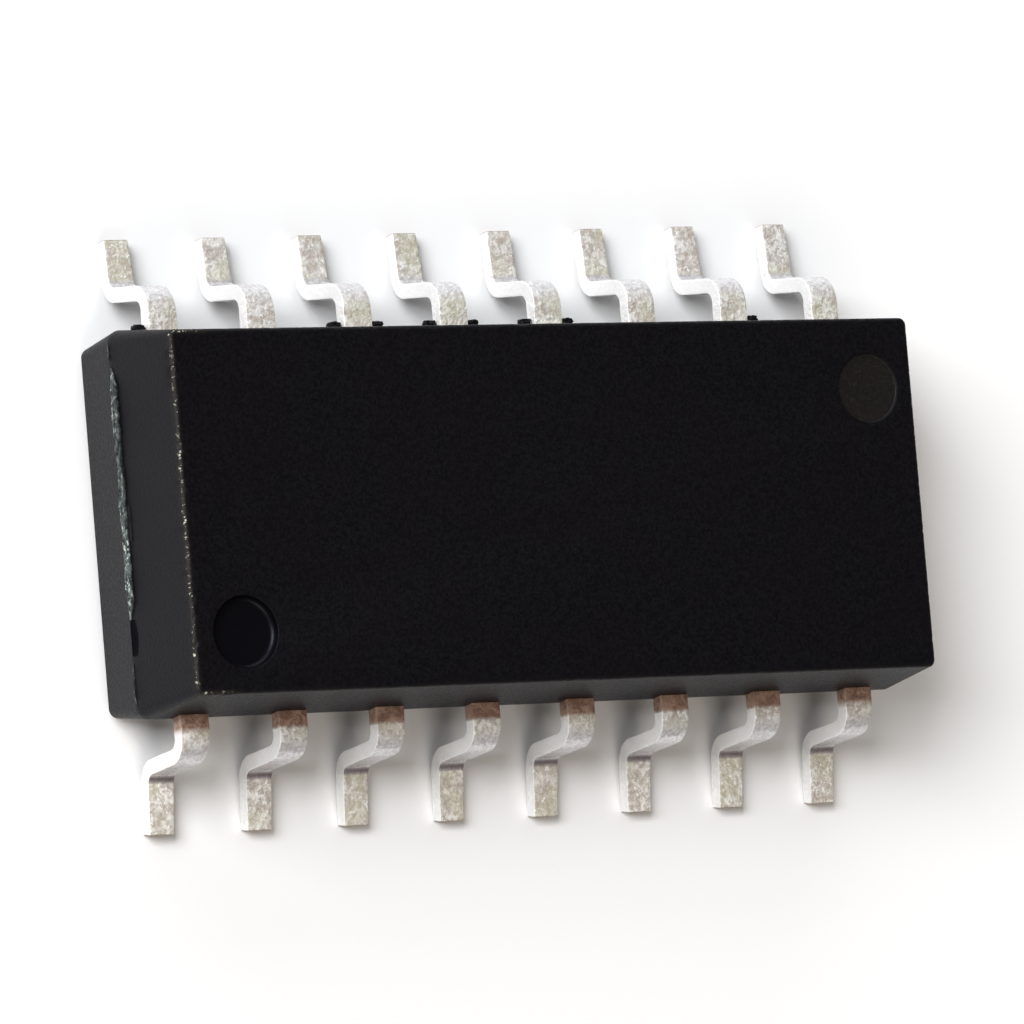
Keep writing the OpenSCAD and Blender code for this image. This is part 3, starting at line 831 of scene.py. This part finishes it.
def build_strip_tree():
    """Sweeps a rounded strip of sheet along a line whose points carry the way across,
    the way up, the width and how far the section is drawn in, then dents it a little."""
    tree, given, out = new_group(
        "formed_strip", "GeometryNodeTree",
        [("Geometry", "NodeSocketGeometry", None), ("Thickness", "NodeSocketFloat", sheet_t * MM),
         ("Width", "NodeSocketFloat", shoulder_w * MM),
         ("Edge radius", "NodeSocketFloat", strip_edge_r * MM),
         ("Unevenness", "NodeSocketFloat", dent_depth * MM),
         ("Dent size", "NodeSocketFloat", dent_size * MM),
         ("Seed", "NodeSocketFloat", 0.0), ("Lock hole", "NodeSocketVector", None),
         ("Lock radius", "NodeSocketFloat", lock_d / 2 * MM), ("Material", "NodeSocketMaterial", None)],
        [("Geometry", "NodeSocketGeometry")])

    def read(name, kind="FLOAT"):
        """What each point carries under a name."""
        return add(tree, "GeometryNodeInputNamedAttribute", {"Name": name}, data_type=kind).outputs[0]

    def store(geometry, name, value):
        """Has each point carry a vector under a name."""
        return add(tree, "GeometryNodeStoreNamedAttribute",
                   {"Geometry": geometry, "Name": name, "Value": value},
                   data_type="FLOAT_VECTOR", domain="POINT").outputs[0]

    here = add(tree, "GeometryNodeInputPosition").outputs[0]
    line = add(tree, "GeometryNodeMeshToCurve", {"Mesh": given["Geometry"]}).outputs[0]
    line = store(line, "centre", here)
    section = add(tree, "GeometryNodeCurvePrimitiveQuadrilateral",
                  {"Width": given["Width"], "Height": given["Thickness"]}).outputs[0]
    section = add(tree, "GeometryNodeSubdivideCurve", {"Curve": section, "Cuts": 3}).outputs[0]
    section = add(tree, "GeometryNodeFilletCurve",
                  {"Curve": section, "Count": 3, "Radius": given["Edge radius"], "Limit Radius": True},
                  mode="POLY").outputs[0]
    section = add(tree, "GeometryNodeSubdivideCurve", {"Curve": section, "Cuts": 1}).outputs[0]
    section = store(section, "section", here)
    strip = add(tree, "GeometryNodeCurveToMesh",
                {"Curve": line, "Profile Curve": section, "Fill Caps": True}).outputs[0]
    flat = add(tree, "ShaderNodeSeparateXYZ", {0: read("section", "FLOAT_VECTOR")}).outputs
    drawn_in = maths(tree, "MULTIPLY", read("shrink"), 2.0)
    wide = maths(tree, "DIVIDE", maths(tree, "SUBTRACT", read("width"), drawn_in), given["Width"])
    thick = maths(tree, "DIVIDE", maths(tree, "SUBTRACT", given["Thickness"], drawn_in),
                  given["Thickness"])
    across = vectors(tree, "SCALE", read("across", "FLOAT_VECTOR"),
                     scale=maths(tree, "MULTIPLY", flat[0], wide))
    up = vectors(tree, "SCALE", read("up", "FLOAT_VECTOR"),
                 scale=maths(tree, "MULTIPLY", flat[1], thick))
    placed = vectors(tree, "ADD", read("centre", "FLOAT_VECTOR"), vectors(tree, "ADD", across, up))
    strip = add(tree, "GeometryNodeSetPosition", {"Geometry": strip, "Position": placed}).outputs[0]
    hole = add(tree, "GeometryNodeMeshCylinder",
               {"Vertices": 32, "Radius": given["Lock radius"],
                "Depth": maths(tree, "MULTIPLY", given["Thickness"], 2.0)}).outputs[0]
    hole = add(tree, "GeometryNodeTransform",
               {"Geometry": hole, "Translation": given["Lock hole"]}).outputs[0]
    strip = add(tree, "GeometryNodeMeshBoolean", {"Mesh 1": strip, "Mesh 2": hole},
                operation="DIFFERENCE", solver="EXACT").outputs[0]
    dents = add(tree, "ShaderNodeTexNoise",
                {"Vector": here, "W": given["Seed"], "Detail": 2.0,
                 "Scale": maths(tree, "DIVIDE", 1.0, given["Dent size"])},
                noise_dimensions="4D").outputs[0]
    depth = maths(tree, "MULTIPLY", maths(tree, "SUBTRACT", dents, 0.62), given["Unevenness"])
    normal = add(tree, "GeometryNodeInputNormal").outputs[0]
    strip = add(tree, "GeometryNodeSetPosition",
                {"Geometry": strip, "Offset": vectors(tree, "SCALE", normal, scale=depth)}).outputs[0]
    strip = add(tree, "GeometryNodeRealizeInstances", {"Geometry": strip}).outputs[0]
    strip = add(tree, "GeometryNodeSetMaterial",
                {"Geometry": strip, "Material": given["Material"]}).outputs[0]
    tree.links.new(strip, out["Geometry"])
    return tree


def run_tree(piece, tree, **values):
    """Puts a geometry tree on a piece with its inputs, and keeps what it makes."""
    change = piece.modifiers.new("made", "NODES")
    change.node_group = tree
    keys = {item.name: item.identifier for item in tree.interface.items_tree if item.in_out == "INPUT"}
    for label, value in values.items():
        change[keys[label.replace("_", " ")]] = value
    apply_modifiers(piece)


def build_lead(number, tree, material):
    """One formed lead, from its tip in the body to its toe."""
    rows, lock = lead_line(number)
    points, across, up, width, shrink, burnish, painted_shade = zip(*rows)
    name = f"formed_lead_{number:02d}"
    mesh = mesh_from(name, points, [], [(i, i + 1) for i in range(len(points) - 1)])
    for label, values in (("across", across), ("up", up)):
        kept = mesh.attributes.new(label, "FLOAT_VECTOR", "POINT")
        kept.data.foreach_set("vector", np.array(values, np.float32).ravel())
    for label, values in (("width", width), ("shrink", shrink)):
        kept = mesh.attributes.new(label, "FLOAT", "POINT")
        kept.data.foreach_set("value", np.array(values, np.float32) * MM)
    on_foot = np.array(points)[:, 2] < 1.6 * sheet_t
    # painted shade: the back row has it on its feet instead of in its heels
    painted_shade = np.array(painted_shade) if number <= leads_per_side else back_foot_shade * on_foot
    for label, values in (("burnish", np.array(burnish)), ("painted_shade", painted_shade)):
        kept = mesh.attributes.new(label, "FLOAT", "POINT")
        kept.data.foreach_set("value", values.astype(np.float32))
    lead = mesh_object(name, mesh)
    run_tree(lead, tree, Seed=float(number), Lock_hole=tuple(c * MM for c in lock), Material=material)
    tidy_strip(lead.data, points[-1], math.copysign(1, points[-1][1]))
    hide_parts(f"lead_{number:02d}")
    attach(lead, "root")


def tidy_strip(mesh, toe, side):
    """Turns a swept strip's faces outwards, and marks how each point of it looks."""
    shape = bmesh.new()
    shape.from_mesh(mesh)
    bmesh.ops.recalc_face_normals(shape, faces=shape.faces)
    shape.to_mesh(mesh)
    shape.free()
    count = len(mesh.vertices)
    place, section = np.empty(count * 3), np.empty(count * 3)
    mesh.vertices.foreach_get("co", place)
    mesh.attributes["section"].data.foreach_get("vector", section)
    place, section = place.reshape(-1, 3) / MM, section.reshape(-1, 3) / MM
    outside = np.abs(place[:, 1]) - body_side
    foot = math.radians(foot_angle)
    along = np.array([0, side * math.cos(foot), -math.sin(foot)])
    # painted reflection of the dark body, on the front row next to it
    reflection_edge = reflection_reach if side < 0 else -1
    # painted highlight on the shear-cut sides
    sheared_highlight = np.abs(section[:, 0]) > shoulder_w / 2 - 0.004
    looks = {"body_reflection": np.clip((reflection_edge - outside) / 0.02 + 0.5, 0, 1),
             "sheared_highlight": sheared_highlight * (outside > reflection_edge),
             "bare": np.abs((place - toe) @ along) < 0.002}
    for label, values in looks.items():
        kept = mesh.attributes.new(label, "FLOAT", "POINT")
        kept.data.foreach_set("value", values.astype(np.float32))
    for label in ("across", "up", "width", "shrink", "centre", "section"):
        if label in mesh.attributes:
            mesh.attributes.remove(mesh.attributes[label])
    mesh.polygons.foreach_set("use_smooth", [True] * len(mesh.polygons))
    mesh.set_sharp_from_angle(angle=math.radians(50))


# ---- What is sealed in the body ----------------------------------------------


def finish_inner_nodes():
    """Gives the lead frame paddle, die, glue and wires their own materials."""
    finishes = {"die_paddle": rolled_copper(), "die_attach": silver_epoxy(), "die": polished_silicon()}
    gold = drawn_gold()
    for name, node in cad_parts.items():
        if name in finishes or name.startswith("bond_wire"):
            node.data.materials.clear()
            node.data.materials.append(finishes.get(name, gold))


# ---- Floor, camera and light -------------------------------------------------


def build_floor():
    """The pale floor under the chip."""
    half = 250
    corners = [(-half, -half, 0), (half, -half, 0), (half, half, 0), (-half, half, 0)]
    floor = mesh_object("floor", mesh_from("floor", corners, [(0, 1, 2, 3)]))
    floor.data.materials.append(pale_card())


def add_camera():
    """A long lens above the chip's index end, leaning a little towards its front row."""
    distance = 104.25
    frame_width, focal = 36, 314.8
    aim = Vector((0.521, 0.141, 0))
    turn = (Matrix.Rotation(0.0831, 3, "Z") @ Matrix.Rotation(-0.0923, 3, "X")
            @ Matrix.Rotation(0.5384, 3, "Y")).transposed()
    data = bpy.data.cameras.new("camera")
    data.lens = focal
    data.sensor_width = frame_width
    data.clip_start = 0.005
    data.clip_end = 2.0
    camera = mesh_object("camera", data)
    place = turn @ (Vector((0, 0, distance)) + aim)
    camera.matrix_world = Matrix.Translation(place * MM) @ turn.to_4x4()
    bpy.context.scene.camera = camera


def add_softbox(name, place, size, power, colour):
    """A soft square light that shines at the chip from a place, in millimetres."""
    data = bpy.data.lights.new(name, "AREA")
    data.shape = "RECTANGLE"
    data.size, data.size_y = (side * MM for side in size)
    data.energy = power
    data.color = colour
    light = mesh_object(name, data)
    place = Vector(place) * MM
    light.matrix_world = Matrix.Translation(place) @ place.to_track_quat("Z", "Y").to_matrix().to_4x4()


def add_studio():
    """A dim room that looks pale to the camera, for the softboxes to stand in."""
    world = bpy.data.worlds.new("studio")
    world.use_nodes = True
    tree = world.node_tree
    tree.nodes.clear()
    room = add(tree, "ShaderNodeBackground", {0: (1.0, 0.88, 0.76, 1), 1: 0.1})
    seen = add(tree, "ShaderNodeBackground", {0: (0.93, 0.93, 0.935, 1), 1: 1.0})
    by_camera = add(tree, "ShaderNodeLightPath").outputs["Is Camera Ray"]
    both = add(tree, "ShaderNodeMixShader", {0: by_camera, 1: room.outputs[0], 2: seen.outputs[0]})
    add(tree, "ShaderNodeOutputWorld", {0: both.outputs[0]})
    bpy.context.scene.world = world


resin = moulding_compound()
tin = tin_plate()
build_body(resin)
strip_tree = build_strip_tree()
for lead_number in range(1, 2 * leads_per_side + 1):
    build_lead(lead_number, strip_tree, tin)
finish_inner_nodes()
build_floor()
add_camera()
add_softbox("key", (-340, 150, 330), (280, 280), 3.3, (0.97, 0.985, 1.0))
add_softbox("back", (-40, 480, 190), (500, 340), 1.2, (0.93, 0.97, 1.0))
add_softbox("front", (-120, -380, 400), (350, 250), 1.05, (1.0, 0.91, 0.82))
add_studio()
bpy.context.scene.view_settings.view_transform = "Standard"
